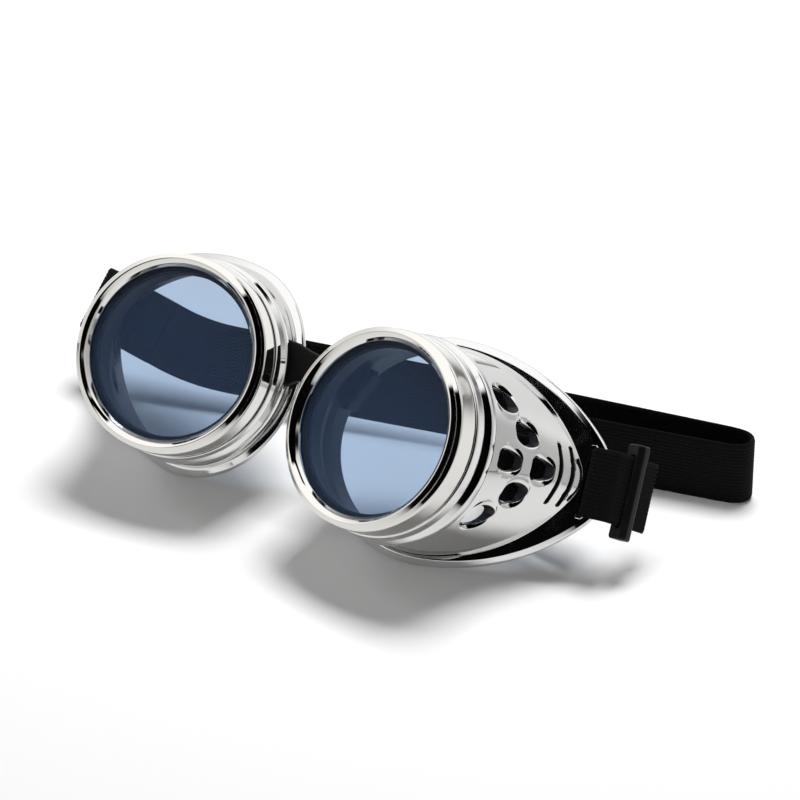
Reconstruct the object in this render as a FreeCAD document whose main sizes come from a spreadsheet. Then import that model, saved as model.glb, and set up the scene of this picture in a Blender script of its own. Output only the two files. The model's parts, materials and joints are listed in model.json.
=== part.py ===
import FreeCAD, Part
import Sketcher
import math
import os
from FreeCAD import Placement, Rotation, Vector

# Round-lens goggles lying on a table, leaning back on the eyecup lips and on the strap's lower edge.
# Left and right are the wearer's. Before they are set down, the pieces are placed from the point midway
# between the fronts of the two lens rings: +X to the wearer's left, -Y forward and +Z up.
# An eyecup, its ring, its lens and its gasket share one frame of their own: Z runs forward along the lens
# axis from the front of the ring, X is level with the strap slot and Y is up.

# Driving dimensions, in millimetres and degrees
SIZES = {
    # How the goggles lie
    "eye_spacing": 69.9,
    "lean_angle": 37.15,
    "toe_in_angle": 7.72,
    "temple_rise_angle": 8.5,
    # Clearances
    "overrun": 2.0,
    "soft_clearance": 0.35,
    "thread_clearance": 0.3,
    "lens_clearance": 0.2,
    "lens_seat_gap": 0.05,
    "parting_gap": 0.3,
    # Lens and gasket
    "lens_radius": 26.0,
    "lens_thickness": 1.95,
    "gasket_width": 2.0,
    "gasket_thickness": 1.0,
    # Lens ring
    "ring_overlap": 1.0,
    "ring_face_rise": 0.7,
    "ring_face_depth": 1.3,
    "ring_rim_depth": 2.2,
    "ring_cove_wall": 1.3,
    "ring_cove_depth": 2.9,
    "ring_cove_width": 2.4,
    "ring_inner_depth": 1.0,
    "ring_lip_depth": 3.0,
    "ring_grip_wall": 1.7,
    "ring_grip_depth": 6.5,
    "ring_depth": 10.0,
    # Neck that the ring screws on, over the crests of its thread
    "neck_step": 1.0,
    "neck_wall": 3.5,
    "neck_lead": 1.5,
    # Eyecup collar
    "collar_rise": 1.2,
    "collar_width": 3.7,
    "groove_drop": 0.3,
    "groove_width": 3.0,
    "bead_rise": 2.0,
    "bead_width": 2.0,
    "edge_radius": 0.6,
    # Eyecup body and lip
    "body_step": 1.3,
    "wall": 2.3,
    "inner_step_width": 3.5,
    "inner_slope_width": 4.5,
    "flare_depth": 3.343,
    "rim_slope_angle": 18.0,
    "rim_nasal_flare": 1.9,
    "rim_flank_radius": 52.0,
    "rim_temple_radius": 9.0,
    "rim_temple_flare": 16.0,
    "lip_nasal_flange": 2.6,
    "lip_flank_flange": 14.0,
    "lip_temple_flange": 9.0,
    "lip_reach_flange": 7.9,
    "lip_thickness": 2.3,
    "lip_edge_radius": 0.9,
    # Vent holes and slits
    "vent_radius": 4.0,
    "vent_inset": 6.6,
    "vent_column_pitch": 4.8,
    "vent_row_pitch": 16.3,
    "slit_length": 17.5,
    "slit_width": 1.1,
    "slit_inset": 3.6,
    "slit_pitch": 3.5,
    # Nose bridge
    "bridge_lead": 8.6,
    "bridge_thickness": 2.0,
    "bridge_angle": 20.5,
    "bridge_end_height": 13.3,
    "bridge_arm_gap": 1.36,
    "bridge_dip_share": 0.14,
    "bridge_arch_share": 0.465,
    "bridge_head_gap": 1.2,
    "bridge_head_thickness": 2.0,
    "bridge_head_height": 12.8,
    "bridge_head_depth": 6.0,
    # Strap
    "strap_width": 20.0,
    "strap_thickness": 1.3,
    "strap_slot_gap": 0.3,
    "strap_slot_width": 2.4,
    "tail_angle": 62.8,
    "tail_length": 16.7,
    "tail_bend": 2.5,
    "slot_bend": 3.5,
    "slot_dip": 4.5,
    "fold_x": 43.0,
    "fold_near_y": 42.0,
    "fold_far_y": 69.7,
    "fold_bend": 13.0,
    "loop_near_x": 107.6,
    "loop_near_y": 86.9,
    "loop_far_x": 105.4,
    "loop_far_y": 95.6,
    "loop_bend": 4.4,
    "sewn_angle": 27.0,
    "sewn_length": 14.0,
    "sewn_lead": 34.0,
    "sewn_bend": 60.0,
    # Strap slider
    "slider_height": 27.5,
    "slider_length": 5.0,
    "slider_depth": 5.4,
    "slider_ridge": 1.5,
    "slider_place": 8.5,
    # Stitches
    "stitch_length": 2.2,
    "stitch_pitch": 3.2,
    "stitch_width": 0.5,
    "stitch_rise": 0.3,
    "stitch_row_pitch": 6.0,
    "stitch_inset": 2.5,
}
VENT_COLUMNS = 3
STITCH_COLUMNS = 5
STITCH_ROWS = 2
ARC_STEPS = 6
RUN_STEPS = 5
SIDES = {"left": 1, "right": -1}

document = FreeCAD.newDocument("goggles")
sheet = document.addObject("Spreadsheet::Sheet", "Sizes")


class Size:
    """A size of the sheet, or one worked out from such sizes: its number and its formula."""

    def __init__(self, number, formula):
        self.number = number
        self.formula = formula

    def __float__(self):
        return float(self.number)

    def __neg__(self):
        return Size(-self.number, f"(-{self.formula})")

    def __add__(self, other):
        other = as_size(other)
        return Size(self.number + other.number, f"({self.formula} + {other.formula})")

    def __sub__(self, other):
        other = as_size(other)
        return Size(self.number - other.number, f"({self.formula} - {other.formula})")

    def __mul__(self, other):
        other = as_size(other)
        return Size(self.number * other.number, f"({self.formula} * {other.formula})")

    def __truediv__(self, other):
        other = as_size(other)
        return Size(self.number / other.number, f"({self.formula} / {other.formula})")

    def __rmul__(self, other):
        return as_size(other) * self


class Sizes:
    """The sheet's sizes by name."""


def as_size(value):
    """A plain count, sign or share as a size."""
    return value if isinstance(value, Size) else Size(value, f"({value})")


def sine(angle):
    return Size(math.sin(math.radians(float(angle))), f"sin({angle.formula} * 1deg)")


def cosine(angle):
    return Size(math.cos(math.radians(float(angle))), f"cos({angle.formula} * 1deg)")


def root(value):
    return Size(math.sqrt(float(value)), f"sqrt({value.formula})")


size = Sizes()
for row, (alias, number) in enumerate(SIZES.items(), start=1):
    sheet.set(f"A{row}", alias)
    sheet.set(f"B{row}", str(number))
    sheet.setAlias(f"B{row}", alias)
    setattr(size, alias, Size(number, f"Sizes.{alias}"))
document.recompute()

# Radii that follow from the lens, from the middle outwards
ring_opening_radius = size.lens_radius - size.ring_overlap
gasket_bore_radius = size.lens_radius - size.gasket_width
lens_pocket_radius = size.lens_radius + size.lens_clearance
ring_cove_radius = lens_pocket_radius + size.ring_cove_wall
ring_face_radius = ring_cove_radius + size.ring_face_rise
neck_radius = size.lens_radius + size.neck_step
neck_bore_radius = neck_radius - size.neck_wall
ring_bore_radius = neck_radius + size.thread_clearance
ring_grip_radius = ring_bore_radius + size.ring_grip_wall
body_radius = neck_radius + size.body_step
inner_radius = body_radius - size.wall
collar_radius = body_radius + size.collar_rise
groove_radius = body_radius - size.groove_drop
bead_radius = body_radius + size.bead_rise
rim_nasal_radius = body_radius + size.rim_nasal_flare
rim_reach = body_radius + size.rim_temple_flare

# Depths along the lens axis from the front of the ring
lens_back = size.ring_lip_depth + size.lens_seat_gap + size.lens_thickness
neck_front = lens_back + size.gasket_thickness
collar_front = size.ring_depth + size.parting_gap
collar_back = collar_front + size.collar_width
groove_back = collar_back + size.groove_width
body_front = groove_back + size.bead_width
inner_front = body_front - size.inner_step_width
neck_back = inner_front - size.inner_slope_width
ring_bore_front = neck_front + size.lens_clearance

# The lip stands out all round the rim. Both slope: the nasal edge is forward and the temple end back.
lip_nasal_radius = rim_nasal_radius + size.lip_nasal_flange
lip_flank_radius = size.rim_flank_radius + size.lip_flank_flange
lip_temple_radius = size.rim_temple_radius + size.lip_temple_flange
lip_reach = rim_reach + size.lip_reach_flange
rim_slope = sine(size.rim_slope_angle) / cosine(size.rim_slope_angle)
rim_depth = body_front + size.flare_depth + lip_nasal_radius * rim_slope
temple_depth = rim_depth + rim_reach * rim_slope
vent_depth = body_front + size.vent_inset
slit_depth = temple_depth - size.slit_inset

# The bridge lies across both lens axes, which are this far from the middle there
bridge_depth = rim_depth - size.bridge_lead
bridge_axis_x = size.eye_spacing / 2 + bridge_depth * sine(size.toe_in_angle) / cosine(size.toe_in_angle)
bridge_half_span = bridge_axis_x - body_radius - size.bridge_arm_gap
bridge_head_radius = inner_radius - size.bridge_head_gap
bridge_rise = bridge_head_radius * sine(size.bridge_angle)
bridge_top = bridge_rise + size.bridge_end_height / 2
bridge_bottom = bridge_rise - size.bridge_end_height / 2

# The strap slot, its bar and the lip's temple end, along the slope of the lip
strap_slot_start = rim_reach + size.strap_slot_gap
slot_end = strap_slot_start + size.strap_slot_width
strap_slot_half_height = size.strap_width / 2 + size.soft_clearance
strap_offset = size.strap_thickness / 2 + size.soft_clearance

# Where the strap's middle line turns: in the slot, behind the lip and outside it
slot_along = slot_end - strap_offset
lip_back = size.lip_thickness + strap_offset
lip_outside = lip_reach + strap_offset

# The strap's sewn end turns this far behind the right lip, to lie along the run that it is sewn to
sewn_fall = (lip_outside - slot_along) * sine(size.sewn_angle) / cosine(size.sewn_angle)
sewn_gap = (size.strap_thickness + size.soft_clearance) / cosine(size.sewn_angle)
sewn_back = lip_back + sewn_fall - sewn_gap


def about(axis, angle):
    return Placement(Vector(), Rotation(axis, float(angle)))


def moved(x, y, z):
    return Placement(Vector(float(x), float(y), float(z)), Rotation())


X_AXIS = Vector(1, 0, 0)
Y_AXIS = Vector(0, 1, 0)
Z_AXIS = Vector(0, 0, 1)
RIGHT_ANGLE = 90
LEAN = about(X_AXIS, -size.lean_angle)
FACING = about(X_AXIS, RIGHT_ANGLE)


def eye_place(side):
    """Frame of one eyecup: moved to its eye, toed in, and rolled so that its temple end rises."""
    toe = about(Z_AXIS, -side * size.toe_in_angle)
    roll = about(Z_AXIS, side * size.temple_rise_angle)
    return LEAN * moved(side * size.eye_spacing / 2, 0, 0) * toe * FACING * roll


def bridge_place():
    """Frame of the bridge: midway between the eyes, X across and Z forward."""
    return LEAN * moved(0, bridge_depth, 0) * FACING


def lip_place(side, depth=0):
    """Frame on the sloping front of the lip, or the given depth behind it, inside the eyecup's frame."""
    return moved(0, 0, -rim_depth) * about(Y_AXIS, side * size.rim_slope_angle) * moved(0, 0, -depth)


def new_body(label):
    body = document.addObject("PartDesign::Body", label)
    body.Label = label
    return body


def origin_item(body, role):
    return next(item for item in body.Origin.OriginFeatures if item.Role == role)


def new_sketch(body, name, role, offset=None):
    sketch = body.newObject("Sketcher::SketchObject", f"{body.Label}_{name}")
    sketch.AttachmentSupport = [(origin_item(body, role), "")]
    sketch.MapMode = "FlatFace"
    if offset is not None:
        sketch.AttachmentOffset = offset
    return sketch


def constrain(sketch, kind, places, value):
    index = sketch.addConstraint(Sketcher.Constraint(kind, *places, float(value)))
    sketch.setExpression(f"Constraints[{index}]", as_size(value).formula)


def pin_point(sketch, item, end, x, y):
    """Hold one point of a sketch line at its place from the sketch's origin."""
    constrain(sketch, "DistanceX", (-1, 1, item, end), x)
    constrain(sketch, "DistanceY", (-1, 1, item, end), y)


def arc_through(start, end, radius):
    """Arc of under half a circle from start to end, which bulges to the right for a positive radius."""
    chord = end - start
    left = Vector(-chord.y, chord.x, 0).normalize() * math.copysign(1, radius)
    reach = math.sqrt(radius ** 2 - (chord.Length / 2) ** 2)
    centre = start + chord / 2 + left * reach
    return Part.Arc(start, centre - left * abs(radius), end)


def outline(sketch, corners):
    """Closed outline. A corner is (x, y), or (x, y, radius) where an arc runs on to the next corner."""
    places = [Vector(float(corner[0]), float(corner[1]), 0) for corner in corners]
    ends = []
    for number, corner in enumerate(corners):
        start = places[number]
        end = places[(number + 1) % len(places)]
        curved = len(corner) > 2
        line = arc_through(start, end, float(corner[2])) if curved else Part.LineSegment(start, end)
        item = sketch.addGeometry(line)
        first = sketch.getPoint(item, 1)
        forward = first.distanceToPoint(start) < first.distanceToPoint(end)
        ends.append((item, 1, 2) if forward else (item, 2, 1))
        if curved:
            radius = corner[2] if float(corner[2]) > 0 else -corner[2]
            constrain(sketch, "Radius", (item,), radius)
    for number, (item, first, last) in enumerate(ends):
        follower, follower_first, _ = ends[(number + 1) % len(ends)]
        sketch.addConstraint(Sketcher.Constraint("Coincident", item, last, follower, follower_first))
        pin_point(sketch, item, first, corners[number][0], corners[number][1])


def rectangle(sketch, x_from, x_to, y_from, y_to):
    outline(sketch, [(x_from, y_from), (x_to, y_from), (x_to, y_to), (x_from, y_to)])


def circle(sketch, x, y, radius):
    item = sketch.addGeometry(Part.Circle(Vector(float(x), float(y), 0), Z_AXIS, float(radius)))
    pin_point(sketch, item, 3, x, y)
    constrain(sketch, "Radius", (item,), radius)


class Egg:
    """Outline with a round nasal side, two flanks and a round temple end, all tangent arcs.

    The nasal arc is centred on the sketch's origin. The flanks are centred across the X axis.
    """

    def __init__(self, nasal, flank, temple, reach):
        self.nasal = nasal
        self.flank = flank
        self.temple = temple
        self.reach = reach
        to_nasal = flank - nasal
        to_temple = flank - temple
        temple_x = reach - temple
        flank_x = (to_nasal * to_nasal - to_temple * to_temple + temple_x * temple_x) / (2 * temple_x)
        flank_y = root(to_nasal * to_nasal - flank_x * flank_x)
        self.shoulder = (-nasal * flank_x / to_nasal, nasal * flank_y / to_nasal)
        cheek_share = flank / to_temple
        self.cheek = (flank_x + cheek_share * (temple_x - flank_x), cheek_share * flank_y - flank_y)

    def inset(self, wall):
        return Egg(self.nasal - wall, self.flank - wall, self.temple - wall, self.reach - wall)

    def draw(self, sketch, side):
        """Six arcs, from the upper shoulder round the nasal side and back along the temple side."""
        radii = (self.nasal, self.flank, self.temple)
        self.six_arcs(sketch, side, self.shoulder, self.cheek, radii, self.reach)

    def draw_circle(self, sketch, side, radius):
        """A circle cut into six arcs in the directions of the egg's own."""
        shoulder = on_circle(self.shoulder, radius)
        cheek = on_circle(self.cheek, radius)
        self.six_arcs(sketch, side, shoulder, cheek, (radius, radius, radius), radius)

    def six_arcs(self, sketch, side, shoulder, cheek, radii, reach):
        nasal, flank, temple = [side * radius for radius in radii]
        outline(sketch, [
            (side * shoulder[0], shoulder[1], nasal),
            (-nasal, as_size(0), nasal),
            (side * shoulder[0], -shoulder[1], flank),
            (side * cheek[0], -cheek[1], temple),
            (side * reach, as_size(0), temple),
            (side * cheek[0], cheek[1], flank),
        ])


def on_circle(point, radius):
    """The point in the same direction at the given radius."""
    length = root(point[0] * point[0] + point[1] * point[1])
    return radius * point[0] / length, radius * point[1] / length


def feature(body, kind, name, profile):
    made = body.newObject(f"PartDesign::{kind}", f"{body.Label}_{name}")
    made.Profile = profile
    return made


def revolve(body, name, profile):
    made = feature(body, "Revolution", name, profile)
    made.ReferenceAxis = (origin_item(body, "Z_Axis"), [""])
    document.recompute()


def extrude(body, kind, name, profile, length, symmetric=False, reverse=False):
    """Pad or pocket of a given length."""
    made = feature(body, kind, name, profile)
    made.setExpression("Length", as_size(length).formula)
    made.SideType = "Symmetric" if symmetric else "One side"
    made.Reversed = reverse
    document.recompute()


def loft(body, kind, name, profile, section):
    made = feature(body, kind, name, profile)
    made.Sections = [section]
    document.recompute()


def round_edges(body, name, radius, chosen):
    """Round the edges of the body so far that the given test picks."""
    edges = [f"Edge{number}" for number, edge in enumerate(body.Shape.Edges, start=1) if chosen(edge)]
    base = body.Tip
    made = body.newObject("PartDesign::Fillet", f"{body.Label}_{name}")
    made.Base = (base, edges)
    made.setExpression("Radius", radius.formula)
    document.recompute()


def make_lens_ring(label, side):
    """Screw ring: domed face round the opening, cove, grip band, lens pocket and bore."""
    body = new_body(label)
    profile = new_sketch(body, "profile", "XZ_Plane")
    dome = ring_face_radius - ring_opening_radius
    cove_back = size.ring_cove_depth + size.ring_cove_width
    outline(profile, [
        (ring_opening_radius, -size.ring_lip_depth),
        (ring_opening_radius, -size.ring_inner_depth, -dome / 2),
        (ring_opening_radius + dome / 2, as_size(0), -dome / 2),
        (ring_face_radius, -size.ring_face_depth),
        (ring_face_radius, -size.ring_rim_depth),
        (ring_cove_radius, -size.ring_cove_depth),
        (ring_cove_radius, -cove_back, size.ring_cove_width),
        (ring_grip_radius, -size.ring_grip_depth),
        (ring_grip_radius, -size.ring_depth),
        (ring_bore_radius, -size.ring_depth),
        (ring_bore_radius, -ring_bore_front),
        (lens_pocket_radius, -ring_bore_front),
        (lens_pocket_radius, -size.ring_lip_depth),
    ])
    revolve(body, "turned", profile)
    body.Placement = eye_place(side)
    return body


def make_lens(label, side):
    """Flat round lens."""
    lens = document.addObject("Part::Cylinder", label)
    lens.Label = label
    lens.setExpression("Radius", size.lens_radius.formula)
    lens.setExpression("Height", size.lens_thickness.formula)
    lens.Placement = eye_place(side) * moved(0, 0, -lens_back)
    return lens


def make_gasket(label, side):
    """Flat soft ring between the lens and the neck."""
    disc = document.addObject("Part::Cylinder", f"{label}_disc")
    disc.setExpression("Radius", size.lens_radius.formula)
    disc.setExpression("Height", size.gasket_thickness.formula)
    bore = document.addObject("Part::Cylinder", f"{label}_bore")
    bore.setExpression("Radius", gasket_bore_radius.formula)
    bore.setExpression("Height", size.gasket_thickness.formula)
    gasket = document.addObject("Part::Cut", label)
    gasket.Label = label
    gasket.Base = disc
    gasket.Tool = bore
    gasket.Placement = eye_place(side) * moved(0, 0, -neck_front)
    return gasket


def on_collar_edge(edge):
    """Whether an edge is one of the outer corners of the collar or the bead."""
    if edge.Curve.TypeId != "Part::GeomCircle":
        return False
    steps = [abs(edge.Curve.Radius - float(radius)) for radius in (collar_radius, bead_radius)]
    return min(steps) < Part.Precision.approximation()


def on_lip_edge(edge, frame, egg, margin):
    """Whether an edge runs along the lip's outer outline, at its front or its back."""
    ends = [frame.inverse().multVec(vertex.Point) for vertex in edge.Vertexes]
    level = abs(ends[0].z - ends[-1].z)
    depth = max(abs(end.z) for end in ends) - float(size.lip_thickness)
    corners = (egg.shoulder, egg.cheek, (-egg.nasal, as_size(0)), (egg.reach, as_size(0)))
    marks = [Vector(abs(float(x)), float(y), 0) for x, y in corners]
    apart = [min(Vector(abs(end.x), abs(end.y), 0).distanceToPoint(mark) for mark in marks) for end in ends]
    return max(level, depth, *apart) < margin


def make_eyecup(label, side):
    """Eyecup: neck, stepped collar, flared body, oval lip, vents, slits and both slots."""
    body = new_body(label)
    profile = new_sketch(body, "profile", "XZ_Plane")
    outline(profile, [
        (neck_radius - size.neck_lead, -neck_front),
        (neck_radius, -neck_front - size.neck_lead),
        (neck_radius, -collar_front),
        (collar_radius, -collar_front),
        (collar_radius, -collar_back),
        (groove_radius, -collar_back),
        (groove_radius, -groove_back),
        (bead_radius, -groove_back),
        (bead_radius, -body_front),
        (inner_radius, -body_front),
        (inner_radius, -inner_front),
        (neck_bore_radius, -neck_back),
        (neck_bore_radius, -neck_front),
    ])
    revolve(body, "collar", profile)
    round_edges(body, "collar_edges", size.edge_radius, on_collar_edge)

    rim_egg = Egg(rim_nasal_radius, size.rim_flank_radius, size.rim_temple_radius, rim_reach)
    base = new_sketch(body, "body_front", "XY_Plane", moved(0, 0, -body_front))
    rim_egg.draw_circle(base, side, body_radius)
    rim = new_sketch(body, "body_rim", "XY_Plane", lip_place(side))
    rim_egg.draw(rim, side)
    loft(body, "AdditiveLoft", "flare", base, rim)

    lip_egg = Egg(lip_nasal_radius, lip_flank_radius, lip_temple_radius, lip_reach)
    lip = new_sketch(body, "lip_outline", "XY_Plane", lip_place(side))
    lip_egg.draw(lip, side)
    extrude(body, "Pad", "lip", lip, size.lip_thickness, reverse=True)

    inside_egg = rim_egg.inset(size.wall)
    inside = new_sketch(body, "inside_front", "XY_Plane", moved(0, 0, -body_front))
    inside_egg.draw_circle(inside, side, inner_radius)
    mouth = new_sketch(body, "inside_mouth", "XY_Plane", lip_place(side, size.lip_thickness + size.overrun))
    inside_egg.draw(mouth, side)
    loft(body, "SubtractiveLoft", "inside", inside, mouth)

    frame = lip_place(side)
    rim_gap = float(size.lip_nasal_flange) / 2
    round_edges(body, "lip_edges", size.lip_edge_radius,
                lambda edge: on_lip_edge(edge, frame, lip_egg, rim_gap))

    vents = new_sketch(body, "vent_places", "YZ_Plane")
    for column in range(VENT_COLUMNS):
        rows = VENT_COLUMNS - column
        for row in range(rows):
            height = (row - (rows - 1) / 2) * size.vent_row_pitch
            circle(vents, height, -(vent_depth + column * size.vent_column_pitch), size.vent_radius)
    extrude(body, "Pocket", "vents", vents, lip_reach, reverse=side > 0)

    slits = new_sketch(body, "slit_places", "YZ_Plane")
    for slit in range(2):
        back = slit_depth - slit * size.slit_pitch
        rectangle(slits, -size.slit_length / 2, size.slit_length / 2, -back - size.slit_width / 2,
                  -back + size.slit_width / 2)
    extrude(body, "Pocket", "slits", slits, lip_reach, reverse=side > 0)

    slot = new_sketch(body, "strap_slot_outline", "XY_Plane", lip_place(side))
    rectangle(slot, side * strap_slot_start, side * slot_end, -strap_slot_half_height, strap_slot_half_height)
    extrude(body, "Pocket", "strap_slot", slot, size.lip_thickness + size.overrun)

    nasal = new_sketch(body, "bridge_slot_outline", "XY_Plane", eye_place(side).inverse() * bridge_place())
    rectangle(nasal, side * (bridge_axis_x - lip_nasal_radius - size.overrun),
              side * (bridge_arm_end(bridge_top) + size.overrun),
              bridge_bottom - size.soft_clearance, bridge_top + size.soft_clearance)
    slot_width = size.bridge_thickness + 2 * size.soft_clearance
    extrude(body, "Pocket", "bridge_slot", nasal, slot_width, symmetric=True)

    body.Placement = eye_place(side)
    return body


def bridge_arm_end(height):
    """How far from the middle the bridge's arm meets its slanted head at the given height."""
    head_middle = bridge_head_radius - size.bridge_head_thickness / 2
    return bridge_axis_x - (head_middle - height * sine(size.bridge_angle)) / cosine(size.bridge_angle)


def make_bridge(label):
    """Soft bridge: a strip with an arched lower edge, its arms, and a head inside each eyecup."""
    body = new_body(label)
    strip = new_sketch(body, "strip_outline", "XY_Plane")
    span = bridge_half_span
    arch = size.bridge_arch_share * span
    dip = size.bridge_dip_share * span
    arch_radius = (span * span + arch * arch) / (2 * arch)
    dip_radius = (span * span + dip * dip) / (2 * dip)
    outline(strip, [
        (-span, bridge_bottom, -arch_radius),
        (span, bridge_bottom),
        (bridge_arm_end(bridge_bottom), bridge_bottom),
        (bridge_arm_end(bridge_top), bridge_top),
        (span, bridge_top, -dip_radius),
        (-span, bridge_top),
        (-bridge_arm_end(bridge_top), bridge_top),
        (-bridge_arm_end(bridge_bottom), bridge_bottom),
    ])
    extrude(body, "Pad", "strip", strip, size.bridge_thickness, symmetric=True)
    for name, side in SIDES.items():
        place = moved(side * bridge_axis_x, 0, 0) * about(Z_AXIS, -side * size.bridge_angle)
        head = new_sketch(body, f"head_{name}_outline", "XY_Plane", place)
        rectangle(head, -side * bridge_head_radius,
                  -side * (bridge_head_radius - size.bridge_head_thickness),
                  -size.bridge_head_height / 2, size.bridge_head_height / 2)
        extrude(body, "Pad", f"head_{name}", head, size.bridge_head_depth, symmetric=True)
    body.Placement = bridge_place()
    return body


def lip_point(side, along, out):
    """Point by the strap slot: so far along the lip's slope towards the temple, and out from its front."""
    return (eye_place(side) * lip_place(side)).multVec(Vector(side * float(along), 0, float(out)))


def across_strap(side):
    """Direction across the strap where it goes through the lip."""
    return eye_place(side).Rotation.multVec(Y_AXIS)


def tail_point(distance):
    """Point on the middle line of the tail, from the corner where it leaves the left lip."""
    along = lip_outside + cosine(size.tail_angle) * distance
    return lip_point(1, along, strap_offset - sine(size.tail_angle) * distance)


def sewn_point(corner_along, corner_out, distance):
    """Point on a line that slants inwards behind the right lip from the given corner."""
    along = corner_along - cosine(size.sewn_angle) * distance
    return lip_point(-1, along, corner_out - sine(size.sewn_angle) * distance)


def strap_route(floor):
    """Corners of the strap's middle line: place, bend radius and direction across the strap."""
    left = across_strap(1)
    right = across_strap(-1)
    resting = floor + float(size.strap_width) / 2
    folded = lip_point(1, slot_along, -(lip_back + size.slot_dip))
    return [
        (tail_point(size.tail_length), 0, left),
        (tail_point(0), float(size.tail_bend), left),
        (lip_point(1, slot_along, strap_offset), float(strap_offset), left),
        (folded, float(size.slot_bend), left),
        (Vector(float(size.fold_x), float(size.fold_near_y), (folded.z + resting) / 2),
         float(size.fold_bend), left + Z_AXIS),
        (Vector(float(size.fold_x), float(size.fold_far_y), resting), float(size.fold_bend), Z_AXIS),
        (Vector(float(size.loop_near_x), float(size.loop_near_y), resting), float(size.loop_bend), Z_AXIS),
        (Vector(float(size.loop_far_x), float(size.loop_far_y), resting), float(size.loop_bend), Z_AXIS),
        (sewn_point(lip_outside, -lip_back, size.sewn_lead), float(size.sewn_bend), right),
        (sewn_point(lip_outside, -lip_back, 0), float(strap_offset), right),
        (lip_point(-1, lip_outside, strap_offset), float(strap_offset), right),
        (lip_point(-1, slot_along, strap_offset), float(strap_offset), right),
        (sewn_point(slot_along, -sewn_back, 0), float(strap_offset), right),
        (sewn_point(slot_along, -sewn_back, size.sewn_length), 0, right),
    ]


def corner_arc(before, corner, after, radius):
    """Points round one corner of a route, on the arc of the given radius that touches both its runs."""
    back = (before - corner).normalize()
    on = (after - corner).normalize()
    half = back.getAngle(on) / 2
    reach = radius / math.tan(half)
    centre = corner + (back + on).normalize() * (radius / math.sin(half))
    start = corner + back * reach - centre
    end = corner + on * reach - centre
    turn = start.getAngle(end)
    points = []
    for step in range(ARC_STEPS + 1):
        share = step / ARC_STEPS
        points.append(centre + (start * math.sin((1 - share) * turn) + end * math.sin(share * turn))
                      * (1 / math.sin(turn)))
    return points


def strap_stations(floor):
    """Points along the strap with the direction across it: arcs at the corners and steps along the runs."""
    route = strap_route(floor)
    stations = []
    for number, (place, radius, across) in enumerate(route):
        if radius:
            arc = corner_arc(route[number - 1][0], place, route[number + 1][0], radius)
        else:
            arc = [place]
        if stations:
            run_start, across_start = stations[-1]
            for step in range(1, RUN_STEPS):
                share = step / RUN_STEPS
                stations.append((run_start + (arc[0] - run_start) * share,
                                 across_start.normalize() * (1 - share) + Vector(across).normalize() * share))
        stations.extend((point, Vector(across)) for point in arc)
    return stations


def strap_section(stations, number):
    """Cross-section of the strap at one station, square to the way it runs."""
    place, across = stations[number]
    before = stations[max(number - 1, 0)][0]
    after = stations[min(number + 1, len(stations) - 1)][0]
    way = (after - before).normalize()
    across = (across - way * across.dot(way)).normalize() * (float(size.strap_width) / 2)
    through = across.cross(way).normalize() * (float(size.strap_thickness) / 2)
    upper = [place + across + through, place + across - through]
    lower = [place - across - through, place - across + through]
    return Part.makePolygon(upper + lower + upper[:1])


def make_strap(label, floor):
    """Elastic strap: one flat band from the tail, through the left lip, round its loop to the right lip."""
    stations = strap_stations(floor)
    sections = [strap_section(stations, number) for number in range(len(stations))]
    strap = document.addObject("Part::Feature", label)
    strap.Label = label
    strap.Shape = Part.makeLoft(sections, True, True)
    return strap


def make_slider(label):
    """Slider: a narrow loop round the strap's tail, with a ridge along its outer bar."""
    body = new_body(label)
    loop = new_sketch(body, "loop_outline", "YZ_Plane")
    half_height = size.slider_height / 2
    half_depth = size.slider_depth / 2
    rectangle(loop, -half_height, half_height, -half_depth, half_depth)
    rectangle(loop, -strap_slot_half_height, strap_slot_half_height, -strap_offset, strap_offset)
    extrude(body, "Pad", "loop", loop, size.slider_length, symmetric=True)
    outer = float(size.slider_depth) / 2
    long_edge = float(size.slider_height) - float(size.slider_ridge)
    edges = [f"Edge{number}" for number, edge in enumerate(body.Shape.Edges, start=1)
             if edge.Length > long_edge and edge.CenterOfMass.z > outer / 2]
    base = body.Tip
    ridge = body.newObject("PartDesign::Chamfer", f"{label}_ridge")
    ridge.Base = (base, edges)
    ridge.setExpression("Size", size.slider_ridge.formula)
    document.recompute()
    middle = tail_point(size.slider_place)
    along = tail_point(0) - tail_point(size.tail_length)
    across = across_strap(1)
    body.Placement = Placement(middle, Rotation(along * -1, across, along.cross(across) * -1, "XYZ"))
    return body


def make_stitches(label):
    """Rows of stitches across the sewn end of the strap, on the face towards the right eyecup."""
    end = sewn_point(slot_along, -sewn_back, size.sewn_length)
    way = end - sewn_point(slot_along, -sewn_back, 0)
    across = across_strap(-1)
    frame = Placement(end, Rotation(way, across, way.cross(across), "XYZ"))
    stitches = []
    for row in range(STITCH_ROWS):
        back = float(size.stitch_inset) + row * float(size.stitch_row_pitch)
        for column in range(STITCH_COLUMNS):
            over = (column - STITCH_COLUMNS / 2) * float(size.stitch_pitch)
            sides = (size.stitch_width, size.stitch_length, size.stitch_rise)
            stitch = Part.makeBox(*[float(length) for length in sides])
            stitch.Placement = frame * moved(-back, over, float(size.strap_thickness) / 2)
            stitches.append(stitch)
    group = document.addObject("Part::Feature", label)
    group.Label = label
    group.Shape = Part.makeCompound(stitches)
    return group


def tight_box(piece):
    return piece.Shape.optimalBoundingBox(True, False)


pieces = []
for name, side in SIDES.items():
    pieces.append(make_eyecup(f"eyecup_{name}", side))
    pieces.append(make_lens_ring(f"lens_ring_{name}", side))
    pieces.append(make_lens(f"lens_{name}", side))
    pieces.append(make_gasket(f"lens_gasket_{name}", side))
pieces.append(make_bridge("nose_bridge"))
document.recompute()
floor = min(tight_box(piece).ZMin for piece in pieces)
pieces.append(make_strap("head_strap", floor))
pieces.append(make_slider("strap_slider"))
pieces.append(make_stitches("strap_stitches"))
document.recompute()

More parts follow.
